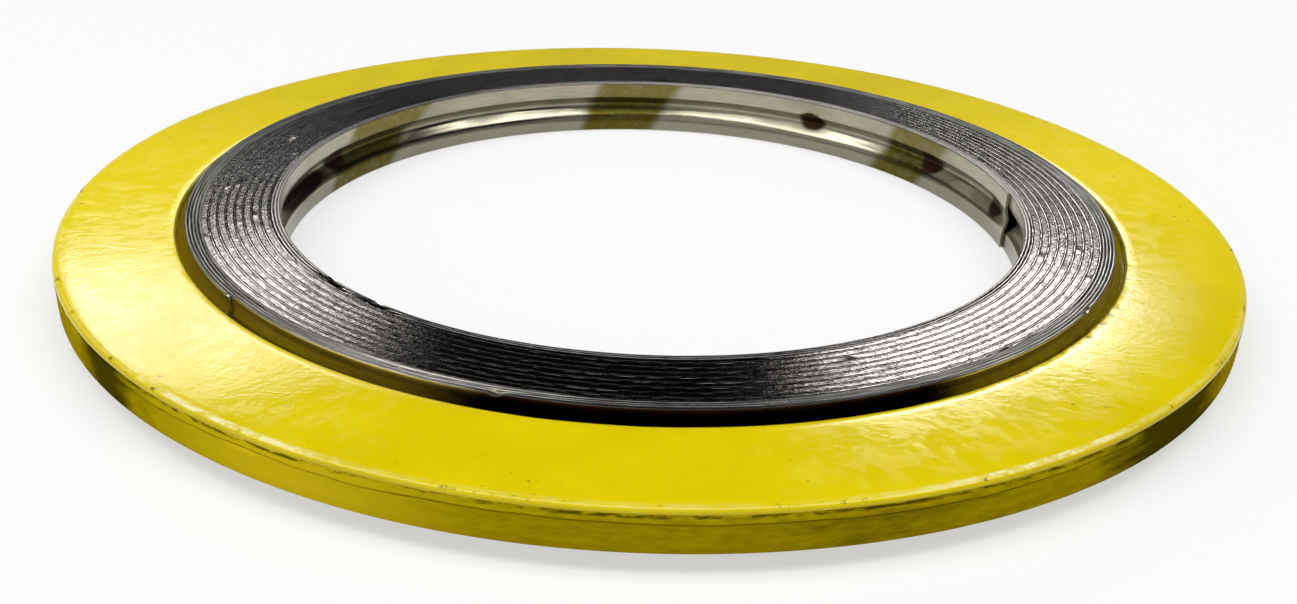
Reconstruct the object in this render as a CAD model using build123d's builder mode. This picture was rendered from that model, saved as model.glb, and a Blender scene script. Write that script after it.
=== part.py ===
from build123d import *
import os

# Spiral wound gasket with an outer centering ring, for a raised face pipe flange.
#
# Millimetres. The gasket lies flat: Z is its axis, and z = 0 is the face that it lies on.
# The winding is one metal strip with a V fold along its middle, wound outwards and
# anticlockwise as seen from above, with a second strip of soft graphite between its turns.
# Its innermost and outermost turns have no filler: they lie tight on each other, are spot
# welded together, and are one band here.

# Metal hoop strip. Thicknesses and gaps in the winding are measured along a radius.
hoop_width = 4.6  # across the strip, which is the height of the metal winding
hoop_thickness = 0.2
hoop_leg_height = 1.3  # the upright part along each edge of the strip
hoop_vee_depth = 0.9  # how far the fold between the legs stands out beyond them
bare_gap = 0.03  # between turns without filler
winding_inner_diameter = 55.4  # between the strip's legs, at the innermost turn
inner_bare_turns = 3
filled_turns = 8
outer_bare_turns = 5
strip_start_angle = 3.7  # from +X to the strip's inner end
strip_end_angle = 40.0  # from -X to the strip's outer end

# Graphite filler strip
filler_thickness = 0.35
filler_clearance = 0.02  # on each side of the filler
filler_proud = 0.04  # of each edge of the metal, so that the flanges meet graphite first

# Centering ring
ring_width = 8.055  # from the lips of the bore to the rim, for a rim of 85.9 in diameter
ring_thickness = 2.75
ring_lift = 0.3  # of the ring's middle above the winding's middle
lip_clearance = 0.55  # from the winding's outermost leg to the lips of the ring's bore
groove_clearance = 0.3  # from the outermost fold to the bottom of the ring's groove
groove_half_height = 0.92  # from the middle of the ring to each edge of its groove
rim_rollover = 0.3  # rounding that blanking leaves on the ring's upper outer edge
lip_rounding = 0.3  # of the ring's upper inner edge
edge_break = 0.1  # rounding of the ring's other edges

# The spiral is made of half turns, each an arc about its own centre on the X axis. A half turn
# that starts at +X is even, and one that starts at -X is odd. Each is half a pitch wider than
# the one before it, with its centre moved by as much, so it runs on smoothly.
bare_pitch = hoop_thickness + bare_gap
filled_pitch = hoop_thickness + filler_thickness + 2 * filler_clearance
half_turn_steps = (
    [bare_pitch / 2] * (2 * inner_bare_turns)
    + [filled_pitch / 2] * (2 * filled_turns)
    + [bare_pitch / 2] * (2 * outer_bare_turns)
)
fold_radii = [winding_inner_diameter / 2 + hoop_vee_depth]  # of each half turn's inner side
centres = [-bare_pitch / 4]
for half, step in enumerate(half_turn_steps[:-1]):
    fold_radii.append(fold_radii[-1] + step)
    centres.append(centres[-1] + (step if half % 2 == 0 else -step))

first_filled = 2 * inner_bare_turns
first_outer = first_filled + 2 * filled_turns
last = len(half_turn_steps) - 1

hoop_middle = filler_proud + hoop_width / 2
vee_half_height = hoop_width / 2 - hoop_leg_height

outer_fold_radius = fold_radii[last] + hoop_thickness
outer_leg_radius = outer_fold_radius - hoop_vee_depth
ring_middle = hoop_middle + ring_lift
lip_radius = outer_leg_radius + lip_clearance
groove_radius = outer_fold_radius + groove_clearance
rim_radius = lip_radius + ring_width


def revolve_section(half, inner, outer, height, start=0.0, end=180.0):
    """Turns the section of a strip, two upright legs with a V between them, about the centre
    of one half turn.

    inner and outer are the radii of the fold's two sides. start and end are angles in degrees
    from the beginning of the half turn.
    """
    centre = (centres[half], 0, hoop_middle)
    turned = 180.0 * (half % 2) + start
    plane = Plane(
        origin=centre,
        x_dir=Vector(1, 0, 0).rotate(Axis.Z, turned),
        z_dir=Vector(0, -1, 0).rotate(Axis.Z, turned),
    )
    inner_leg = inner - hoop_vee_depth
    outer_leg = outer - hoop_vee_depth
    with BuildSketch(plane) as section:
        with BuildLine():
            Polyline(
                (inner_leg, height / 2),
                (inner_leg, vee_half_height),
                (inner, 0),
                (inner_leg, -vee_half_height),
                (inner_leg, -height / 2),
                (outer_leg, -height / 2),
                (outer_leg, -vee_half_height),
                (outer, 0),
                (outer_leg, vee_half_height),
                (outer_leg, height / 2),
                close=True,
            )
        make_face()
    revolve(section.sketch, axis=Axis(centre, (0, 0, 1)), revolution_arc=end - start)


def revolve_plies(first, count, start=0.0, end=180.0):
    """Adds a band of plies of the hoop, from half turn first and each whole turn after it."""
    outermost = first + 2 * (count - 1)
    revolve_section(
        first,
        fold_radii[first],
        fold_radii[outermost] + hoop_thickness,
        hoop_width,
        start,
        end,
    )


with BuildPart() as hoop_strip:
    # Innermost turns: the band begins at the strip's inner end and closes on itself.
    revolve_plies(0, inner_bare_turns + 1, start=strip_start_angle)
    revolve_plies(1, inner_bare_turns)
    revolve_plies(2, inner_bare_turns, end=strip_start_angle)
    # Turns that hold filler
    for half in range(first_filled + 1, first_outer):
        revolve_plies(half, 1)
    # Outermost turns: the last ply stops at the strip's outer end.
    revolve_plies(first_outer, outer_bare_turns)
    revolve_plies(first_outer + 1, outer_bare_turns - 1)
    revolve_plies(last, 1, end=strip_end_angle)
hoop_strip.part.label = "hoop_strip"

with BuildPart() as graphite_filler:
    for half in range(first_filled, first_outer - 1):
        filler_inside = fold_radii[half] + hoop_thickness + filler_clearance
        revolve_section(
            half,
            filler_inside,
            filler_inside + filler_thickness,
            hoop_width + 2 * filler_proud,
        )
graphite_filler.part.label = "graphite_filler"

with BuildPart() as centering_ring:
    with BuildSketch(Plane.XZ) as ring_section:
        with BuildLine():
            Polyline(
                (rim_radius, ring_middle - ring_thickness / 2),
                (rim_radius, ring_middle + ring_thickness / 2),
                (lip_radius, ring_middle + ring_thickness / 2),
                (lip_radius, ring_middle + groove_half_height),
                (groove_radius, ring_middle),
                (lip_radius, ring_middle - groove_half_height),
                (lip_radius, ring_middle - ring_thickness / 2),
                close=True,
            )
        make_face()
        corners = ring_section.vertices()
        top_corners = corners.group_by(Axis.Y)[-1].sort_by(Axis.X)
        bottom_corners = corners.group_by(Axis.Y)[0]
        fillet(top_corners[-1], rim_rollover)
        fillet(top_corners[0], lip_rounding)
        fillet(bottom_corners, edge_break)
    revolve(axis=Axis.Z)
centering_ring.part.label = "centering_ring"

os.makedirs("parts", exist_ok=True)
export_step(hoop_strip.part, "parts/hoop_strip.step")
export_step(graphite_filler.part, "parts/graphite_filler.step")
export_step(centering_ring.part, "parts/centering_ring.step")
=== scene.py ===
import math

import bpy
import numpy as np
from mathutils import Matrix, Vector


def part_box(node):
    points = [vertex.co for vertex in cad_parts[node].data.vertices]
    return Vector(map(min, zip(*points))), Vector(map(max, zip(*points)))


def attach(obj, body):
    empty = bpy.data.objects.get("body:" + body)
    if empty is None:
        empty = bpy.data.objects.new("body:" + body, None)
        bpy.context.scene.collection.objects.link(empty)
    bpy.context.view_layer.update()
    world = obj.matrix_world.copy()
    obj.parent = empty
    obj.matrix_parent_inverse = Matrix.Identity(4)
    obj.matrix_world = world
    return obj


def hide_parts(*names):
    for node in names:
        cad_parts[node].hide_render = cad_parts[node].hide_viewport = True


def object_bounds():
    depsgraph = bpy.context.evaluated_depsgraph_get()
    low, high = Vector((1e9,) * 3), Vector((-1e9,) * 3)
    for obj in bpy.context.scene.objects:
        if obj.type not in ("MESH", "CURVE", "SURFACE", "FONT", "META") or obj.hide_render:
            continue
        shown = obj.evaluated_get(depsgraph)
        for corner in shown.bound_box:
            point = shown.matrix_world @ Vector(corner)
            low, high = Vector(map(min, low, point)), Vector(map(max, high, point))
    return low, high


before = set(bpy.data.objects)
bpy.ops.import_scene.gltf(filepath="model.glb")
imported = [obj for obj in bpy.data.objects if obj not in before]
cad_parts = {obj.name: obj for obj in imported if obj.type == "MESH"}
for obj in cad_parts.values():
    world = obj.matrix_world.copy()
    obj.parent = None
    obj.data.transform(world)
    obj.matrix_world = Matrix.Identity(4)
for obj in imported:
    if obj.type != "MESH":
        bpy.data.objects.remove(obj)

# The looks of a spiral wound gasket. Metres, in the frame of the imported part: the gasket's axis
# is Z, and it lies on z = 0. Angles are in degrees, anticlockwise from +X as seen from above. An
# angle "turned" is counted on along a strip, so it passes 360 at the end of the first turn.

cad_low, cad_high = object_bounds()

MM = 0.001

# ---------------------------------------------------------------- sizes

# Metal strip. Thicknesses and gaps in the winding are measured along a radius.
ply_thickness = 0.2 * MM
bare_gap = 0.03 * MM
filler_gap = 0.39 * MM
fold_depth = 0.9 * MM  # how far the strip's fold stands out beyond its legs
leg_height = 1.3 * MM  # the upright part of the strip along each of its edges
crest_rounding = 0.35  # of the fold's crest, against 0 for a sharp V
foot_rounding = 0.16  # of the bends between the fold and the legs
ply_edge_rounding = 0.01 * MM
inner_turns = 3
filled_turns = 8
outer_turns = 5
strip_start = 3.7
strip_end = 180.0 * 31 + 40.0
first_filled = 360.0 * inner_turns
first_outer = 360.0 * (inner_turns + filled_turns)

# Graphite filler
filler_clearance = 0.02 * MM
filler_pressed = 0.030 * MM  # how far most of its crown has been pressed down
filler_squeezed = 0.016 * MM  # how far its crown has spread on each side

# Centering ring
ring_width = 8.055 * MM
groove_radius = 35.545 * MM
groove_half_height = 0.92 * MM
ring_edge_break = 0.1 * MM
ring_rollover = 0.32 * MM
ring_lip_rounding = 0.2 * MM
break_line_depth = 0.95 * MM  # from the ring's top to the line between its sheared and torn rim
torn_undercut = 0.05 * MM

hoop_low, hoop_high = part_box("hoop_strip")
filler_low, filler_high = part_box("graphite_filler")
ring_low, ring_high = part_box("centering_ring")

middle = (hoop_low.z + hoop_high.z) / 2
half_height = (hoop_high.z - hoop_low.z) / 2
fold_half_height = half_height - leg_height

# The spiral is made of half turns, arcs about centres on the X axis, as in the solid model. The
# last whole one reaches across the strip's box, and the others follow from it.
half_turn_steps = np.array(
    [(ply_thickness + bare_gap) / 2] * (2 * inner_turns)
    + [(ply_thickness + filler_gap) / 2] * (2 * filled_turns)
    + [(ply_thickness + bare_gap) / 2] * (2 * outer_turns + 1)
)
arc_growth = np.concatenate([[0.0], np.cumsum(half_turn_steps)])
widest_arc = 2 * (inner_turns + filled_turns + outer_turns) - 2
widest_radius = (hoop_high.x - hoop_low.x) / 2 - ply_thickness
arc_radii = widest_radius + arc_growth - arc_growth[widest_arc]
arc_turns = half_turn_steps * np.where(np.arange(len(half_turn_steps)) % 2 == 0, 1, -1)
arc_centres = np.concatenate([[0.0], np.cumsum(arc_turns)]) - (ply_thickness + bare_gap) / 4


def fold_radius(turned):
    """Distance from the gasket's axis to the inner side of the strip's fold."""
    half = np.clip(np.floor(turned / 180).astype(int), 0, len(arc_radii) - 1)
    return arc_radii[half] + arc_centres[half] * np.cos(np.radians(turned))


def fold_shape(height):
    """1 at the crest of the fold and 0 at the strip's edges, for a height from its middle."""

    def shape(across):
        crest = 1 + crest_rounding - np.sqrt(across**2 + crest_rounding**2)
        slope = crest - (math.sqrt(1 + crest_rounding**2) - crest_rounding) * 0.12
        slope = slope - (1 + crest_rounding - math.sqrt(1 + crest_rounding**2)) * 0.88
        return (slope + np.sqrt(slope**2 + foot_rounding**2)) / 2

    flat = shape(half_height / fold_half_height)
    return (shape(np.abs(height) / fold_half_height) - flat) / (shape(0.0) - flat)


def wander(x, seed, period=4096):
    """Smooth random values from -1 to 1, with a new one for each whole number that x passes."""
    values = np.random.default_rng(seed).uniform(-1, 1, period)
    cell = np.floor(x).astype(int)
    step = x - cell
    step = step * step * (3 - 2 * step)
    return values[cell % period] * (1 - step) + values[(cell + 1) % period] * step


def smooth(x, low, high):
    """0 up to low, 1 from high on, and a smooth rise between them."""
    t = np.clip((x - low) / (high - low), 0, 1)
    return t * t * (3 - 2 * t)


def bell(x, centre, half_width):
    """1 at the centre, falling smoothly to 0 at half_width on each side."""
    return smooth(1 - np.abs(x - centre) / half_width, 0, 1)


def around_turn(angle, centre):
    """Angle from a centre, from -180 to 180."""
    return (angle - centre + 180) % 360 - 180


# ---------------------------------------------------------------- meshes


def swept_mesh(name, sections, closed, sharp_from=50):
    """A solid through sections, an array of rings of points with the same number in each.

    Edges that turn by sharp_from degrees or more show as sharp.
    """
    count, ring, _ = sections.shape
    station = np.arange(count if closed else count - 1)[:, None]
    point = np.arange(ring)[None, :]
    after = (station + 1) % count
    beside = (point + 1) % ring
    quads = np.stack(
        [
            station * ring + point,
            after * ring + point,
            after * ring + beside,
            station * ring + beside,
        ],
        axis=-1,
    ).reshape(-1, 4)
    faces = quads.tolist()
    if not closed:
        faces.append(list(range(ring)))
        faces.append(list(range(count * ring - 1, (count - 1) * ring - 1, -1)))
    mesh = bpy.data.meshes.new(name)
    mesh.from_pydata(sections.reshape(-1, 3).tolist(), [], faces)
    mesh.shade_smooth()
    mesh.set_sharp_from_angle(angle=math.radians(sharp_from))
    mesh.update()
    piece = bpy.data.objects.new(name, mesh)
    bpy.context.scene.collection.objects.link(piece)
    return piece


def keep_values(piece, name, values):
    """Stores one number for each point of a mesh, for its material to read."""
    layer = piece.data.attributes.new(name, "FLOAT", "POINT")
    layer.data.foreach_set("value", values.reshape(-1).astype(np.float32))


def polar_sections(turned, radius, height):
    """Points at angles turned, one for each station, and radii and heights, stations by points."""
    angle = np.radians(turned)[:, None]
    return np.stack([radius * np.cos(angle), radius * np.sin(angle), height], axis=-1)


# Places where the top of a ply is nicked or bent: angle turned, half width, depth.
hoop_notches = [
    (223.3, 0.7, 0.08 * MM),
    (360 + 223.6, 1.1, 0.7 * MM),
    (720 + 223.9, 0.9, 0.6 * MM),
    (233.0, 0.7, 0.12 * MM),
    (360 + 233.2, 0.9, 0.9 * MM),
    (720 + 233.4, 0.9, 0.9 * MM),
    (360 * 14 + 325.6, 0.6, 0.22 * MM),
    (360 * 14 + 255.9, 0.8, 0.16 * MM),
    (360 * 13 + 256.3, 0.7, 0.12 * MM),
]

# Spot welds on the innermost ply, as angles, each with its height above the strip's middle.
spot_welds = [
    (10.5, 0.0),
    (31.5, 0.05 * MM),
    (59.0, 0.35 * MM),
    (160.0, 0.1 * MM),
    (207.0, 0.1 * MM),
    (254.0, 0.0),
    (301.0, 0.05 * MM),
    (341.0, 0.1 * MM),
]
strip_corner = 0.35 * MM  # rounding of the corners at the strip's outer end
weld_half_width = 4.2  # degrees
weld_half_height = 1.4 * MM
weld_dent = 0.07 * MM

# Patches of the innermost ply's fold that are still bright, as angles and half widths
bright_patches = [(50.5, 8), (78, 10.5), (113, 10.5), (134.5, 9.5), (22, 4.5)]

# Heat tints across the innermost ply: from and to an angle at its upper edge, and at its lower.
heat_tints = [
    (26, 40, 34, 45),
    (85, 101, 91, 105),
    (136, 155, 147, 164),
    (200, 216, 207, 222),
    (247, 262, 254, 267),
    (296, 309, 303, 316),
]


def hoop_stations():
    """Angles turned along the metal strip: close together where the strip shows and is bent."""
    inner_show = np.arange(strip_start, 372, 1.0)
    outer_show = np.arange(strip_end - 380, strip_end, 1.0)
    between = np.arange(372, strip_end - 380, 3.2)
    near_start = np.arange(strip_start, strip_start + 12, 0.3)
    near_end = strip_end - np.array([0.6, 0.45, 0.3, 0.2, 0.1, 0.04])
    near_notches = [
        np.arange(at - width * 1.2, at + width * 1.2, 0.15) for at, width, _ in hoop_notches
    ]
    every = np.concatenate(
        [inner_show, outer_show, between, near_start, near_end, *near_notches]
    )
    every = np.unique(np.round(every, 2))
    every = every[(every >= strip_start) & (every < strip_end)]
    return np.append(every, strip_end)


def build_hoop():
    """The metal strip, from its inner end to its outer end, every ply on its own."""
    turned = hoop_stations()
    fold_rows = fold_half_height * np.array([1.12, 0.86, 0.6, 0.36, 0.15])
    leg_rows = fold_half_height + leg_height * np.array([0.88, 0.45])
    side = np.concatenate([[half_height - ply_edge_rounding], leg_rows, fold_rows])
    side = np.concatenate([side, [0.0], -side[::-1]])  # from the top to the bottom
    edge = ply_edge_rounding
    across = np.concatenate(
        [np.zeros(len(side)), [edge, ply_thickness - edge], np.full(len(side), ply_thickness)]
    )
    across = np.concatenate([across, [ply_thickness - edge, edge]])
    height = np.concatenate([side, [-half_height] * 2, side[::-1], [half_height] * 2])

    bare = smooth(turned, first_outer - 40, first_outer + 40)
    bare = np.maximum(bare, 1 - smooth(turned, first_filled - 300, first_filled))
    # Each bare turn stands a little lower or higher than the next one.
    settle = (0.002 + 0.016 * bare) * MM * (1 + wander(turned / 47, 11))
    settle += (0.002 + 0.004 * bare) * MM * (1 + wander(turned / 3.3, 12))
    nicked = np.zeros_like(turned)
    for at, width, depth in hoop_notches:
        nicked += depth * np.clip(1.3 - np.abs(turned - at) / width, 0, 1)
    from_end = np.clip((strip_end - turned) * math.pi / 180 * widest_radius / strip_corner, 0, 1)
    corner_loss = strip_corner * (1 - np.sqrt(1 - (1 - from_end) ** 2))
    top_loss = settle + nicked + corner_loss
    bottom_loss = settle[::-1] + corner_loss

    # The fold is pressed flat towards the strip's inner end.
    openness = 0.22 + 0.78 * np.clip((turned - strip_start) / 11, 0, 1) ** 0.7
    legs = fold_radius(turned) - fold_depth
    legs = legs + 0.02 * MM * wander((turned % 360) / 24, 14, period=15)
    fold = fold_shape(height)
    radius = legs[:, None] + across[None, :] + fold_depth * fold[None, :] * openness[:, None]
    # The welds pucker the innermost turns, and the fold bulges a little between them.
    innermost = 1 - smooth(turned, 360 * (inner_turns - 1), 360 * inner_turns)
    welds = np.zeros((len(turned), len(height)))
    for at, up in spot_welds:
        from_weld = np.hypot(
            around_turn(turned, at)[:, None] / weld_half_width,
            (height - up)[None, :] / weld_half_height,
        )
        welds = np.maximum(welds, 1 - smooth(from_weld, 0.35, 1.0))
    bulge = 0.035 * MM * wander((turned % 360) / 18, 15, period=20)
    radius += innermost[:, None] * (weld_dent * welds + bulge[:, None] * fold[None, :])

    up_leg = np.clip((height - fold_half_height) / leg_height, 0, 1)[None, :]
    down_leg = np.clip((-height - fold_half_height) / leg_height, 0, 1)[None, :]
    heights = middle + height[None, :] - top_loss[:, None] * up_leg
    heights = heights + bottom_loss[:, None] * down_leg
    piece = swept_mesh(
        "wound_hoop_strip", polar_sections(turned, radius, heights), closed=False
    )
    piece.data.materials.append(hoop_metal())

    everywhere = np.ones((len(turned), len(height)))
    first_turn = (turned < strip_start + 360)[:, None]
    share_down = (half_height - height)[None, :] / (2 * half_height)
    tint = np.zeros_like(everywhere)
    for top_from, top_to, low_from, low_to in heat_tints:
        start = top_from + (low_from - top_from) * share_down
        end = top_to + (low_to - top_to) * share_down
        angle = turned[:, None]
        span = smooth(angle, start - 1.2, start + 1.2) * (1 - smooth(angle, end - 1.2, end + 1.2))
        tint = np.maximum(tint, span)
    outer_side = (turned > strip_end - 360)[:, None]
    sooty = smooth(turned % 360, 240, 264) * (1 - smooth(turned % 360, 294, 308))
    soot_and_painted_shade = outer_side * 1.3 * sooty[:, None]
    # Painted dark reflection: the first turn's fold is painted near black around 173 degrees, for
    # the dark surroundings it reflects.
    from_painted_dark_reflection = np.hypot(
        around_turn(turned, 173)[:, None] / 12, (height + 0.45 * MM)[None, :] / (0.8 * MM)
    )
    soot_and_painted_shade = np.maximum(soot_and_painted_shade, 1.1 * first_turn * (1 - smooth(from_painted_dark_reflection, 0.5, 1.1)))
    # Painted shade: the plies are painted near black towards the top at the nicks, where the holes
    # are in shade.
    near_nicks = smooth(nicked / MM, 0.0, 0.12) * (turned < first_filled + 60)
    soot_and_painted_shade = np.maximum(soot_and_painted_shade, 1.5 * near_nicks[:, None] * smooth(height / MM, 1.2, 1.7))
    keep_values(piece, "across", everywhere * height[None, :] / half_height)
    keep_values(piece, "tint", tint * first_turn)
    keep_values(piece, "weld", welds * first_turn)
    bright = np.zeros_like(everywhere)
    for centre, half_width in bright_patches:
        from_centre = np.hypot(
            (turned - centre)[:, None] / half_width, (height + 0.65 * MM)[None, :] / (0.75 * MM)
        )
        bright = np.maximum(bright, 1 - smooth(from_centre, 0.3, 1.1))
    on_fold = smooth(1 - np.abs(height) / fold_half_height, 0, 0.3)
    keep_values(piece, "dull", first_turn * (1 - bright) * on_fold[None, :])
    keep_values(piece, "soot_and_painted_shade", everywhere * soot_and_painted_shade)
    # At the front, graphite is smeared over the bare turns too.
    round_turn = turned % 360
    smeared = 0.9 * smooth(round_turn, 200, 232) * (1 - smooth(round_turn, 325, 350))
    smeared = np.where(turned < first_filled, smeared, 0.6 * bell(round_turn, 273, 15))
    keep_values(piece, "bare", everywhere * (bare * (1 - smeared))[:, None])
    keep_values(piece, "outermost", everywhere * outer_side)
    scraped = bell(around_turn(turned, 246), 0, 26) + 0.45 * bell(around_turn(turned, 318), 0, 40)
    keep_values(piece, "scraped", everywhere * (scraped * (turned > first_outer))[:, None])
    inner_band = (turned < first_filled - 150) * (1 - smeared)
    keep_values(piece, "inner_band", everywhere * inner_band[:, None])
    return piece


def build_filler():
    """The graphite strip, with the ragged crown that stands proud between the plies."""
    first = 180 * (2 * inner_turns - 1)
    last = 180 * (2 * (inner_turns + filled_turns))
    turned = np.arange(first, last, 0.7)
    room = fold_radius(turned + 360) - fold_radius(turned) - ply_thickness
    thick_enough = room > 3 * filler_clearance
    turned = turned[thick_enough]
    room = room[thick_enough]
    inner = fold_radius(turned) - fold_depth + ply_thickness + filler_clearance
    thickness = room - 2 * filler_clearance
    inner = inner + 0.02 * MM * wander((turned % 360) / 24, 14, period=15)

    half = (filler_high.z - filler_low.z) / 2
    crown = np.array([0.0, 0.07, 0.16, 0.84, 0.93, 1.0])  # across the strip
    crown_drop = np.array([0.0014, 0.0003, 0.0, 0.0, 0.0003, 0.0014]) * MM
    wall = np.array([fold_half_height, 0.0, -fold_half_height])
    across = np.concatenate([np.zeros(3), crown, np.ones(3), crown[::-1]])
    height = np.concatenate([wall, -half + crown_drop, wall[::-1], half - crown_drop])
    spread_out = filler_squeezed * np.sign(across - 0.5) * (np.abs(height) > half - 0.2 * MM)
    radius = (
        inner[:, None]
        + across[None, :] * thickness[:, None]
        + (spread_out + fold_depth * fold_shape(height))[None, :]
    )
    # The crown is pressed down nearly level with the metal, and stands proud only in places.
    on_crown = np.where(np.abs(height) > half_height - 0.1 * MM, np.sign(height), 0)
    arc = turned * math.pi / 180 * widest_radius / MM
    drops = []
    for seed in (101, 102):
        pressed = 1 - smooth(wander(arc / 3.1, seed), 0.9, 1.0)
        drops.append(filler_pressed * pressed + 0.002 * MM * (1 + wander(arc / 1.1, seed + 100)))
    drop = drops[0][:, None] * (1 - across)[None, :] + drops[1][:, None] * across[None, :]
    heights = middle + height[None, :] - drop * on_crown[None, :]
    piece = swept_mesh(
        "wound_graphite_filler",
        polar_sections(turned, radius, heights),
        closed=False,
        sharp_from=9,
    )
    piece.data.materials.append(graphite())
    keep_values(piece, "border", np.tile(np.abs(2 * across - 1), (len(turned), 1)))
    return piece


def corner_arc(corner, rounding, inward, count):
    """Points of a rounded corner, in the order that the ring's outline passes them."""
    cx = corner[0] + inward[0] * rounding
    cz = corner[1] + inward[1] * rounding
    starts = {(1, 1): 180, (-1, 1): 270, (-1, -1): 0, (1, -1): 90}
    sweep = np.radians(np.linspace(starts[inward], starts[inward] + 90, count))
    return [(cx + rounding * math.cos(a), cz + rounding * math.sin(a)) for a in sweep]


def build_ring():
    """The centering ring, blanked from plate: rounded above, with a ragged line on its rim."""
    angles = np.arange(0, 360, 0.5)
    rim = ring_high.y
    top = ring_high.z
    bottom = ring_low.z
    ring_middle = (top + bottom) / 2
    lip = rim - ring_width
    # The groove in the bore, from its upper edge to its lower edge, then the lower face
    points = [
        (lip, ring_middle + groove_half_height),
        (groove_radius, ring_middle + 0.05 * MM),
        (groove_radius, ring_middle - 0.05 * MM),
        (lip, ring_middle - groove_half_height),
    ]
    points += corner_arc((lip, bottom), ring_edge_break, (1, 1), 4)
    points += [(lip + ring_width * share, bottom) for share in (0.33, 0.66)]
    torn_rim = rim - torn_undercut
    points += corner_arc((torn_rim, bottom), ring_edge_break, (-1, 1), 4)
    # The rim: torn metal below the line, smooth above it
    line = top - break_line_depth
    points += [
        (torn_rim + 0.02 * MM, bottom + 0.6 * MM),
        (rim - 0.03 * MM, line - 0.35 * MM),
        (rim - 0.01 * MM, line - 0.06 * MM),
        (rim - 0.06 * MM, line - 0.015 * MM),
        (rim - 0.06 * MM, line + 0.02 * MM),
        (rim, line + 0.06 * MM),
    ]
    points += corner_arc((rim, top - 0.026 * MM), ring_rollover, (-1, -1), 7)
    points += [(rim - 0.5 * MM, top - 0.014 * MM), (rim - 0.72 * MM, top - 0.004 * MM)]
    across_top = (0.12, 0.24, 0.36, 0.5, 0.64, 0.78, 0.9)
    points += [(rim - ring_width * share, top) for share in across_top]
    points += corner_arc((lip, top), ring_lip_rounding, (1, -1), 5)
    points = np.array(points)
    radius = np.tile(points[:, 0], (len(angles), 1))
    height = np.tile(points[:, 1], (len(angles), 1))
    # The rim's line wanders up and down.
    from_line = (points[:, 1] - line) / (0.3 * MM)
    near_line = np.exp(-(from_line**2)) * (points[:, 0] > rim - 0.1 * MM)
    ragged = 0.10 * MM * wander(angles / 8, 21, period=45)
    ragged += 0.05 * MM * wander(angles / 2.5, 22, period=144)
    height += ragged[:, None] * near_line[None, :]
    # The lip is uneven, most of all on one side.
    from_lip = (points[:, 0] - lip) / (0.25 * MM)
    near_lip = np.exp(-(from_lip**2)) * (points[:, 1] > top - 0.3 * MM)
    lip_wear = 0.03 * MM * wander(angles / 5, 23, period=72)
    lip_wear += 0.05 * MM * wander(angles / 1.5, 24, period=240) * (0.25 + bell(angles, 320, 50))
    radius += lip_wear[:, None] * near_lip[None, :]
    # The upper face isn't quite flat.
    on_top = (points[:, 1] > top - 0.03 * MM) & (points[:, 0] < rim - 0.4 * MM)
    sag = 0.006 * MM * (1 + wander(angles / 15, 25, period=24))
    height -= sag[:, None] * on_top[None, :]
    piece = swept_mesh(
        "painted_centering_ring", polar_sections(angles, radius, height), closed=True
    )
    # The rim's paint is darker in these places, partly as thin paint and partly as painted shade
    # on the rim's sides. It is lighter around 243 degrees, as painted light.
    thinness_and_shade = 0.10 + 0.20 * wander(angles / 20, 26, period=18)
    for centre, half_width in ((223, 10), (316, 18), (60, 25), (135, 18)):
        thinness_and_shade = np.maximum(thinness_and_shade, bell(around_turn(angles, centre), 0, half_width))
    thinness_and_shade = np.maximum(thinness_and_shade, 0.5 * bell(around_turn(angles, 287), 0, 26))
    thinness_and_shade = thinness_and_shade - 0.9 * bell(around_turn(angles, 243), 0, 22)
    keep_values(piece, "thin_paint_and_painted_light", np.repeat(thinness_and_shade, len(points)))
    keep_values(piece, "above_line", np.tile((points[:, 1] - line) / MM, len(angles)))
    # Painted highlight: how strongly the upper outer edge is painted pale, most at these angles.
    edge_highlight_share = 0.15 + 0.1 * wander(angles / 7, 27, period=52)
    for centre, half_width in ((238, 18), (300, 17), (30, 20), (150, 20)):
        edge_highlight_share = np.maximum(edge_highlight_share, bell(around_turn(angles, centre), 0, half_width))
    keep_values(piece, "painted_edge_highlight", np.repeat(edge_highlight_share, len(points)))
    # Painted light: the paint is made lighter around 15 and 182 degrees, as if more light fell on
    # the ring's two sides.
    painted_side_light = np.maximum(
        bell(around_turn(angles, 15), 0, 45), 1.1 * bell(around_turn(angles, 182), 0, 42)
    )
    keep_values(piece, "painted_side_light", np.repeat(painted_side_light, len(points)))
    smudged = 0.12 + bell(around_turn(angles, 322), 0, 34)
    keep_values(piece, "smudged_lip", np.repeat(smudged, len(points)))
    # The faces of the rim, below the rollover, take the second material.
    below_rollover = points[:, 1] < top - ring_rollover + 0.01 * MM
    rim_point = (points[:, 0] > rim - 0.2 * MM) & below_rollover
    on_rim = rim_point & np.roll(rim_point, -1)
    indices = np.tile(on_rim.astype(np.int32), len(angles))
    piece.data.materials.append(yellow_paint())
    piece.data.materials.append(rim_paint())
    piece.data.polygons.foreach_set("material_index", indices)
    return piece


# ---------------------------------------------------------------- materials


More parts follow.
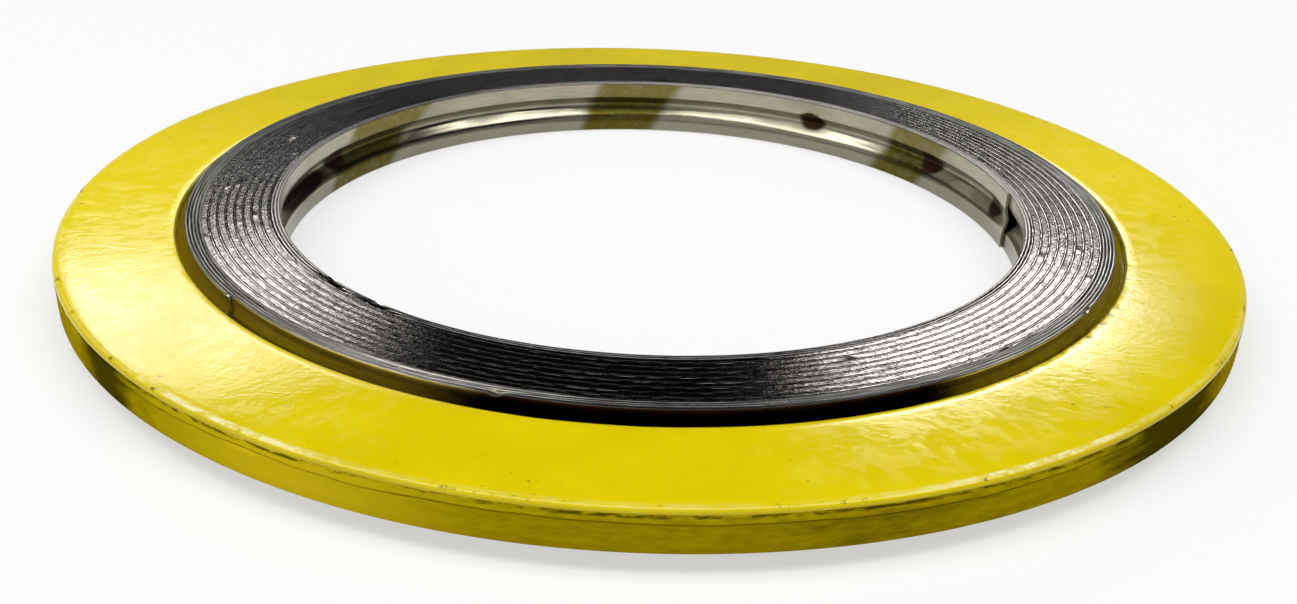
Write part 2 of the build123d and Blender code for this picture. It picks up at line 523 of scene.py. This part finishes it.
class Nodes:
    """A tree of shader nodes, and short ways to add to it."""

    def __init__(self, tree):
        self.tree = tree

    def node(self, kind, **settings):
        made = self.tree.nodes.new(kind)
        for name, value in settings.items():
            setattr(made, name, value)
        return made

    def join(self, value, socket):
        """Links an output, or sets a plain value."""
        if isinstance(value, bpy.types.NodeSocket):
            self.tree.links.new(value, socket)
        else:
            socket.default_value = value

    def math(self, operation, *values):
        made = self.node("ShaderNodeMath", operation=operation)
        for socket, value in zip(made.inputs, values):
            self.join(value, socket)
        return made.outputs[0]

    def product(self, *values):
        result = values[0]
        for value in values[1:]:
            result = self.math("MULTIPLY", result, value)
        return result

    def split(self, vector):
        parts = self.node("ShaderNodeSeparateXYZ")
        self.join(vector, parts.inputs[0])
        return parts.outputs

    def spread(self, value, low, high, to_low=0.0, to_high=1.0):
        """value from low to high becomes to_low to to_high, smoothly, and stays between them."""
        made = self.node("ShaderNodeMapRange", interpolation_type="SMOOTHSTEP")
        for socket, number in zip(made.inputs, (value, low, high, to_low, to_high)):
            self.join(number, socket)
        return made.outputs[0]

    def mix_number(self, share, first, second):
        made = self.node("ShaderNodeMix")
        for socket, value in zip(made.inputs, (share, None, first, second)):
            if value is not None:
                self.join(value, socket)
        return made.outputs[0]

    def mix(self, share, first, second):
        """A colour between two, which are given in linear light."""
        made = self.node("ShaderNodeMix", data_type="RGBA")
        self.join(share, made.inputs["Factor"])
        colours = [s for s in made.inputs if s.type == "RGBA"]
        for socket, value in zip(colours, (first, second)):
            self.join(value if isinstance(value, bpy.types.NodeSocket) else (*value, 1), socket)
        return next(s for s in made.outputs if s.type == "RGBA")


class Finish(Nodes):
    """A material made of nodes around one Principled shader."""

    def __init__(self, name):
        self.material = bpy.data.materials.new(name)
        self.material.use_nodes = True
        super().__init__(self.material.node_tree)
        self.shader = next(n for n in self.tree.nodes if n.type == "BSDF_PRINCIPLED")
        self.place = self.node("ShaderNodeTexCoord").outputs["Object"]

    def set(self, **values):
        for name, value in values.items():
            self.join(value, self.shader.inputs[name.replace("_", " ")])

    def stored(self, name):
        """A number kept at the mesh's points."""
        return self.node("ShaderNodeAttribute", attribute_name=name).outputs["Fac"]

    def noise(self, vector, scale=1.0, detail=2.0, roughness=0.5):
        made = self.node("ShaderNodeTexNoise")
        given = dict(Vector=vector, Scale=scale, Detail=detail, Roughness=roughness)
        for name, value in given.items():
            self.join(value, made.inputs[name])
        return made.outputs["Fac"]

    def bump(self, height, distance, strength=1.0):
        made = self.node("ShaderNodeBump")
        made.inputs["Distance"].default_value = distance
        made.inputs["Strength"].default_value = strength
        self.join(height, made.inputs["Height"])
        return made.outputs[0]

    def height(self):
        return self.split(self.place)[2]

    def radius(self):
        x, y, _ = self.split(self.place)
        return self.math("SQRT", self.math("ADD", self.product(x, x), self.product(y, y)))

    def around(self, per_turn, per_radius, per_height=0.0):
        """Places on the gasket for a noise texture that runs along its turns.

        per_turn, per_radius and per_height are how many cells of noise pass in a millimetre
        along a turn, along a radius and up.
        """
        x, y, z = self.split(self.place)
        radius = self.radius()
        factor = per_turn * widest_radius / MM
        made = self.node("ShaderNodeCombineXYZ")
        level = self.math(
            "ADD", self.product(radius, per_radius / MM), self.product(z, per_height / MM)
        )
        values = (
            self.product(self.math("DIVIDE", x, radius), factor),
            self.product(self.math("DIVIDE", y, radius), factor),
            level,
        )
        for socket, value in zip(made.inputs, values):
            self.join(value, socket)
        return made.outputs[0]


def graphite():
    """Soft graphite, burnished to a dark shine, with broken dark lines of painted shade along its
    borders.
    """
    finish = Finish("graphite")
    streaks = finish.noise(finish.around(0.7, 5.0), detail=2.5, roughness=0.6)
    specks = finish.noise(finish.around(2.2, 6.0), detail=2, roughness=0.6)
    bends = finish.noise(finish.around(0.5, 1.2), detail=3, roughness=0.6)
    grain = finish.noise(finish.around(3.0, 7.0), detail=3, roughness=0.7)
    tone = finish.mix(
        finish.spread(streaks, 0.35, 0.65), (0.13, 0.123, 0.118), (0.27, 0.254, 0.247)
    )
    tone = finish.mix(finish.spread(grain, 0.36, 0.57, 0.75, 0), tone, (0.03, 0.028, 0.027))
    # Painted shade: broken dark lines along the strip's borders stand in for the shaded gaps
    # beside the metal plies.
    border = finish.math(
        "ADD", finish.stored("border"), finish.spread(bends, 0.3, 0.7, -0.4, 0.25)
    )
    stretches = finish.noise(finish.around(0.14, 1.5), detail=2)
    line = finish.product(
        finish.spread(border, 0.7, 1.05),
        finish.spread(specks, 0.38, 0.53),
        finish.spread(stretches, 0.42, 0.58, 0.1, 1.0),
    )
    flecks = finish.spread(specks, 0.56, 0.66)
    dark = finish.math("MAXIMUM", line, flecks)
    finish.set(
        Base_Color=finish.mix(dark, tone, (0.006, 0.006, 0.006)),
        Metallic=1.0,
        Roughness=finish.spread(streaks, 0.35, 0.65, 0.12, 0.07),
    )
    rough = finish.math("ADD", finish.product(streaks, 0.35), finish.product(specks, 0.5))
    rough = finish.math("ADD", rough, finish.product(grain, 0.5))
    finish.set(Normal=finish.bump(rough, 0.03 * MM, 0.4))
    return finish.material


def hoop_metal():
    """Rolled stainless strip: satin on its sides, dull on its cut edges, brown at the welds."""
    finish = Finish("hoop_metal")
    across = finish.stored("across")
    edge = finish.spread(finish.math("ABSOLUTE", across), 0.975, 0.99)
    streaks = finish.noise(finish.around(0.5, 1.0, 9.0), detail=3, roughness=0.6)
    cloud = finish.noise(finish.around(0.15, 0.2, 0.6), detail=2)
    side = finish.mix(finish.spread(streaks, 0.3, 0.7), (0.36, 0.335, 0.25), (0.44, 0.41, 0.31))
    side = finish.mix(finish.spread(cloud, 0.45, 0.7), side, (0.32, 0.30, 0.215))
    # The strip's side is painted darker towards its lower edge.
    foot = finish.spread(across, -0.62, -0.40, 0.75, 0)
    side = finish.mix(foot, side, (0.21, 0.205, 0.155))
    side = finish.mix(finish.stored("outermost"), side, (0.74, 0.69, 0.52))

    # Heat has tinted the metal straw and olive around the welds, and brown at them.
    patchy = finish.noise(finish.around(0.9, 1.0, 1.4), detail=3, roughness=0.6)
    tint = finish.product(finish.stored("tint"), finish.spread(patchy, 0.2, 0.6, 0.75, 1.0))
    low = finish.spread(across, 0.05, 0.55)
    olive = finish.mix(low, (0.10, 0.082, 0.010), (0.18, 0.15, 0.042))
    side = finish.mix(tint, side, olive)
    burnt = finish.math("ADD", finish.stored("weld"), finish.product(patchy, 0.5))
    burnt = finish.spread(burnt, 0.55, 1.05)
    side = finish.mix(burnt, side, (0.045, 0.022, 0.012))
    # Near black: soot on the outer turn's front, with painted shade at the nicks and a painted
    # dark reflection on the first turn's fold.
    soot_and_painted_shade = finish.math("ADD", finish.stored("soot_and_painted_shade"), finish.product(patchy, 0.4))
    soot_and_painted_shade = finish.spread(soot_and_painted_shade, 0.3, 1.2)
    side = finish.mix(soot_and_painted_shade, side, (0.03, 0.014, 0.008))

    # Graphite is smeared over the cut edges of the filled turns.
    cut_lines = finish.noise(finish.around(0.3, 12.0), detail=3, roughness=0.6)
    cut_marks = finish.noise(finish.around(1.1, 3.0), detail=4, roughness=0.7)
    bare_cut = finish.mix(
        finish.spread(cut_lines, 0.35, 0.65), (0.08, 0.077, 0.074), (0.42, 0.41, 0.39)
    )
    bare_cut = finish.mix(
        finish.product(finish.stored("inner_band"), 0.8), bare_cut, (0.66, 0.64, 0.61)
    )
    scraped = finish.product(
        finish.stored("scraped"), finish.spread(cut_lines, 0.35, 0.6, 0.5, 1.0)
    )
    bare_cut = finish.mix(scraped, bare_cut, (0.95, 0.92, 0.86))
    smeared = finish.mix(
        finish.spread(cut_marks, 0.34, 0.50), (0.075, 0.070, 0.068), (0.31, 0.291, 0.283)
    )
    cut = finish.mix(finish.stored("bare"), smeared, bare_cut)
    cut = finish.mix(finish.product(soot_and_painted_shade, 0.85), cut, (0.03, 0.03, 0.03))
    cut_roughness = finish.spread(finish.stored("bare"), 0, 1, 0.0, 0.2)
    metal_roughness = finish.mix_number(edge, 0.12, cut_roughness)
    sheen = finish.math("MAXIMUM", finish.product(burnt, 0.35), finish.product(tint, 0.2))
    sheen = finish.math("MAXIMUM", sheen, finish.product(finish.stored("dull"), 0.34))
    finish.set(
        Base_Color=finish.mix(edge, side, cut),
        Metallic=1.0,
        Roughness=finish.math("ADD", finish.math("MAXIMUM", metal_roughness, sheen), 0.08),
    )
    marks = finish.math("ADD", streaks, finish.product(edge, cut_marks))
    finish.set(Normal=finish.bump(marks, 0.012 * MM, 0.5))
    return finish.material


def yellow_paint():
    """Glossy yellow paint over steel plate, with dirt and small scuffs, and painted light, shade
    and highlights in places.
    """
    finish = Finish("yellow_paint")
    radius = finish.radius()
    rim = ring_high.x
    cloud = finish.noise(finish.place, 120.0, detail=3)
    paint = finish.mix(finish.spread(cloud, 0.3, 0.7), (0.76, 0.60, 0.002), (0.84, 0.67, 0.003))
    # Painted light: lighter paint on the ring's two sides.
    paint = finish.mix(finish.stored("painted_side_light"), paint, (0.96, 0.77, 0.006))

    # A few specks of dirt on the upper face, smudges at its lip, chips along its outer edge, and
    # painted shade along the lip's edge
    specks = finish.noise(finish.place, 1700.0, detail=2, roughness=0.6)
    few = finish.noise(finish.place, 210.0, detail=2)
    dirt = finish.product(finish.spread(specks, 0.66, 0.74), finish.spread(few, 0.52, 0.66))
    line_noise = finish.noise(finish.around(0.8, 2.0, 3.0), detail=4, roughness=0.7)
    near_edge = finish.product(
        finish.spread(radius, rim - 0.45 * MM, rim - 0.25 * MM),
        finish.spread(radius, rim - 0.12 * MM, rim - 0.04 * MM, 1, 0),
    )
    chips = finish.product(near_edge, finish.spread(line_noise, 0.58, 0.66))
    scratches = finish.noise(finish.around(1.5, 0.45), detail=4, roughness=0.7)
    lip = ring_high.x - ring_width
    near_lip = finish.spread(radius, lip + 0.15 * MM, lip + 1.1 * MM, 1, 0)
    smudge = finish.product(
        near_lip, finish.stored("smudged_lip"), finish.spread(scratches, 0.5, 0.66)
    )
    # Painted shade: the paint is darkened along the lip's edge, over the shaded groove beside the
    # winding.
    lip_shade = finish.spread(radius, lip + 0.10 * MM, lip + 0.26 * MM, 1, 0)
    dark = finish.math("MAXIMUM", finish.math("MAXIMUM", dirt, chips), smudge)
    dark = finish.math("MAXIMUM", dark, lip_shade)
    paint = finish.mix(finish.product(dark, 0.8), paint, (0.06, 0.045, 0.006))
    # A painted highlight: the paint is made pale along the upper outer edge, where its rounding
    # catches the light.
    on_edge = finish.product(
        finish.spread(radius, rim - 0.60 * MM, rim - 0.42 * MM),
        finish.spread(radius, rim - 0.20 * MM, rim - 0.08 * MM, 1, 0),
    )
    highlight_on_edge = finish.product(
        finish.stored("painted_edge_highlight"), finish.spread(line_noise, 0.42, 0.56, 1, 0.2)
    )
    paint = finish.mix(finish.product(on_edge, highlight_on_edge), paint, (1.0, 0.96, 0.55))
    # Handling has dulled its gloss in patches and in scuffs that run along a radius.
    patches = finish.noise(finish.place, 520.0, detail=4, roughness=0.7)
    dulled = finish.math(
        "ADD", finish.product(scratches, 0.4), finish.product(patches, 0.6)
    )
    finish.set(
        Base_Color=paint,
        Roughness=finish.spread(dulled, 0.45, 0.56, 0.05, 0.12),
        Specular_IOR_Level=0.32,
    )
    waves = finish.noise(finish.place, 260.0, detail=2, roughness=0.5)
    peel = finish.noise(finish.place, 1100.0, detail=3, roughness=0.55)
    fine = finish.noise(finish.place, 3600.0, detail=2)
    relief = finish.math("ADD", finish.product(waves, 0.35), finish.product(peel, 0.3))
    relief = finish.math("ADD", relief, finish.product(fine, 0.3))
    relief = finish.math("ADD", relief, finish.product(scratches, 0.2))
    finish.set(Normal=finish.bump(relief, 0.025 * MM, 0.6))
    return finish.material


def rim_paint():
    """Thin dull paint on the ring's rim, where the steel's dark skin shows through in places, with
    painted shade on its sides and painted light at its front left.
    """
    finish = Finish("rim_paint")
    height = finish.height()
    top = ring_high.z
    grime_noise = finish.noise(finish.around(0.35, 1.0, 1.6), detail=4, roughness=0.65)
    fine_noise = finish.noise(finish.around(1.2, 1.0, 3.0), detail=4, roughness=0.65)
    thinness_and_shade = finish.math("ADD", finish.stored("thin_paint_and_painted_light"), finish.product(grime_noise, 0.9))
    thinness_and_shade = finish.spread(thinness_and_shade, 0.75, 1.35)
    line = top - break_line_depth
    sheared = finish.spread(height, line - 0.1 * MM, line + 0.15 * MM)
    paint = finish.mix(sheared, (0.60, 0.45, 0.002), (0.74, 0.58, 0.004))
    paint = finish.mix(finish.spread(fine_noise, 0.3, 0.75), paint, (0.44, 0.33, 0.001))
    # Painted light: the paint is made lighter where the rim is taken as better lit, at its front
    # left.
    painted_light_on_rim = finish.spread(finish.stored("thin_paint_and_painted_light"), -0.8, 0.1, 1, 0)
    paint = finish.mix(painted_light_on_rim, paint, (0.98, 0.75, 0.012))
    # Darker where the paint is thin over the steel's dark skin, and as painted shade on the rim's
    # sides.
    paint = finish.mix(thinness_and_shade, paint, (0.10, 0.08, 0.001))
    # A broken dark line just under the upper edge
    from_line = finish.math("ABSOLUTE", finish.math("SUBTRACT", height, top - 0.48 * MM))
    line_noise = finish.noise(finish.around(0.8, 2.0, 3.0), detail=4, roughness=0.7)
    dark_line = finish.product(
        finish.spread(from_line, 0.04 * MM, 0.18 * MM, 1, 0),
        finish.spread(line_noise, 0.44, 0.58),
    )
    paint = finish.mix(finish.product(dark_line, 0.8), paint, (0.03, 0.02, 0.002))
    # and one where its sheared metal ends and its torn metal begins
    from_tear = finish.math("ABSOLUTE", finish.stored("above_line"))
    tear = finish.product(
        finish.spread(from_tear, 0.02, 0.09, 1, 0), finish.spread(fine_noise, 0.25, 0.6, 0.8, 0.25)
    )
    paint = finish.mix(tear, paint, (0.09, 0.065, 0.002))
    finish.set(Base_Color=paint, Roughness=0.7, Specular_IOR_Level=0.0)
    finish.set(Normal=finish.bump(fine_noise, 0.04 * MM, 0.5))
    return finish.material


# ---------------------------------------------------------------- the gasket

pieces = [
    (build_hoop(), "hoop_strip", "hoop_metal"),
    (build_filler(), "graphite_filler", "graphite"),
    (build_ring(), "centering_ring", "yellow_paint"),
]
for piece, node, slot in pieces:
    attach(piece, "root")
    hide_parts(node)

# ---------------------------------------------------------------- studio

floor_reach = 3.0  # from the middle to each side
floor_colour = 0.42  # how light the floor is to what it lights
floor_glow = 0.55  # added where the camera or a reflection sees it, which makes it white


def floor():
    mesh = bpy.data.meshes.new("floor")
    r = floor_reach
    z = cad_low.z
    mesh.from_pydata([(-r, -r, z), (r, -r, z), (r, r, z), (-r, r, z)], [], [(0, 1, 2, 3)])
    piece = bpy.data.objects.new("floor", mesh)
    bpy.context.scene.collection.objects.link(piece)
    finish = Finish("floor")
    path = finish.node("ShaderNodeLightPath").outputs
    seen = finish.math("MAXIMUM", path["Is Camera Ray"], path["Is Glossy Ray"])
    seen = finish.math("MAXIMUM", seen, path["Is Transmission Ray"])
    finish.set(
        Base_Color=(floor_colour, floor_colour, floor_colour, 1),
        Roughness=1.0,
        Specular_IOR_Level=0.0,
        Emission_Color=(1, 1, 1, 1),
        Emission_Strength=finish.product(seen, floor_glow),
    )
    piece.data.materials.append(finish.material)


def overhead(width, depth, height, place, radiance):
    """A wide panel above the gasket, facing down, with its middle at place."""
    lamp = bpy.data.lights.new("overhead", "AREA")
    lamp.shape = "RECTANGLE"
    lamp.size = width
    lamp.size_y = depth
    lamp.energy = radiance * math.pi * width * depth
    piece = bpy.data.objects.new("overhead", lamp)
    piece.location = (*place, height)
    bpy.context.scene.collection.objects.link(piece)


def surroundings():
    """A studio that is pale near the floor and behind the camera, with two windows at the back."""
    world = bpy.data.worlds.new("studio")
    world.use_nodes = True
    studio = Nodes(world.node_tree)
    direction = studio.node("ShaderNodeTexCoord").outputs["Generated"]
    x, y, z = studio.split(direction)
    azimuth = studio.math("DEGREES", studio.math("ARCTAN2", y, x))
    elevation = studio.math("DEGREES", studio.math("ARCSINE", z))

    ramp = studio.node("ShaderNodeValToRGB")
    studio.join(z, ramp.inputs[0])
    tones = [(0.0, 0.55), (0.14, 0.16), (0.30, 0.09), (0.41, 0.02), (0.46, 0.001)]
    stops = ramp.color_ramp.elements
    while len(stops) < len(tones):
        stops.new(0.5)
    for stop, (at, tone) in zip(stops, tones):
        stop.position = at
        stop.color = (tone, tone, tone, 1)
    pale = 0.0
    for towards, start, end in (((-0.5, -0.87, 0), 0.1, 0.8), ((-0.62, 0.61, 0.49), 0.972, 0.992)):
        along = studio.node("ShaderNodeVectorMath", operation="DOT_PRODUCT")
        studio.join(direction, along.inputs[0])
        along.inputs[1].default_value = towards
        pale = studio.math("MAXIMUM", studio.spread(along.outputs["Value"], start, end), pale)
    light = studio.mix(pale, ramp.outputs[0], (0.5, 0.49, 0.46))

    # Light comes in through two windows, unevenly. Each one's azimuths, how soft its sides are,
    # its lowest elevation, its highest at its right side, how much that rises with each degree
    # of azimuth and where it stops, and how bright it is, with white as 1.
    uneven = studio.node("ShaderNodeTexNoise")
    studio.join(direction, uneven.inputs["Vector"])
    uneven.inputs["Scale"].default_value = 70.0
    uneven.inputs["Detail"].default_value = 4.0
    uneven.inputs["Roughness"].default_value = 0.62
    uneven = studio.spread(uneven.outputs["Fac"], 0.38, 0.62, 0.3, 1.6)
    windows = [
        ((102.3, 117.0), (2.8, 1.5), 22.5, (26.7, 0.2, 30.0), 5.4),
        ((68.8, 81.5), (3.0, 2.8), 22.5, (24.8, 0.42, 28.8), 9.5),
    ]
    for (right, left), (right_soft, left_soft), bottom, (top, rise, highest), radiance in windows:
        past_right = studio.math("SUBTRACT", azimuth, right)
        limit = studio.math("MULTIPLY_ADD", past_right, rise, top)
        above = studio.math("SUBTRACT", elevation, studio.math("MINIMUM", limit, highest))
        glow = studio.product(
            studio.spread(past_right, -right_soft, right_soft),
            studio.spread(azimuth, left - left_soft, left + left_soft, 1, 0),
            studio.spread(elevation, bottom - 0.5, bottom + 0.5),
            studio.spread(above, -0.6, 0.6, 1, 0),
            uneven,
        )
        window = studio.node("ShaderNodeVectorMath", operation="MULTIPLY_ADD")
        studio.join(glow, window.inputs[0])
        window.inputs[1].default_value = (radiance, 0.975 * radiance, 0.94 * radiance)
        studio.join(light, window.inputs[2])
        light = window.outputs[0]
    studio.join(light, world.node_tree.nodes["Background"].inputs["Color"])
    bpy.context.scene.world = world


def camera():
    lens_camera = bpy.data.cameras.new("camera")
    lens_camera.sensor_width = 36
    lens_camera.lens = 38.67
    lens_camera.clip_start = 0.005
    piece = bpy.data.objects.new("camera", lens_camera)
    place = (0, -0.10038, 0.04242)
    pitch_down = 25.34
    roll = 2.27
    turn = Matrix.Rotation(math.radians(90 - pitch_down), 4, "X")
    turn = turn @ Matrix.Rotation(math.radians(roll), 4, "Z")
    piece.matrix_world = Matrix.Translation(place) @ turn
    bpy.context.scene.collection.objects.link(piece)
    bpy.context.scene.camera = piece


floor()
overhead(width=2.4, depth=0.7, height=1.2, place=(-0.1, -0.15), radiance=3.65)
surroundings()
camera()
bpy.context.scene.view_settings.view_transform = "Standard"
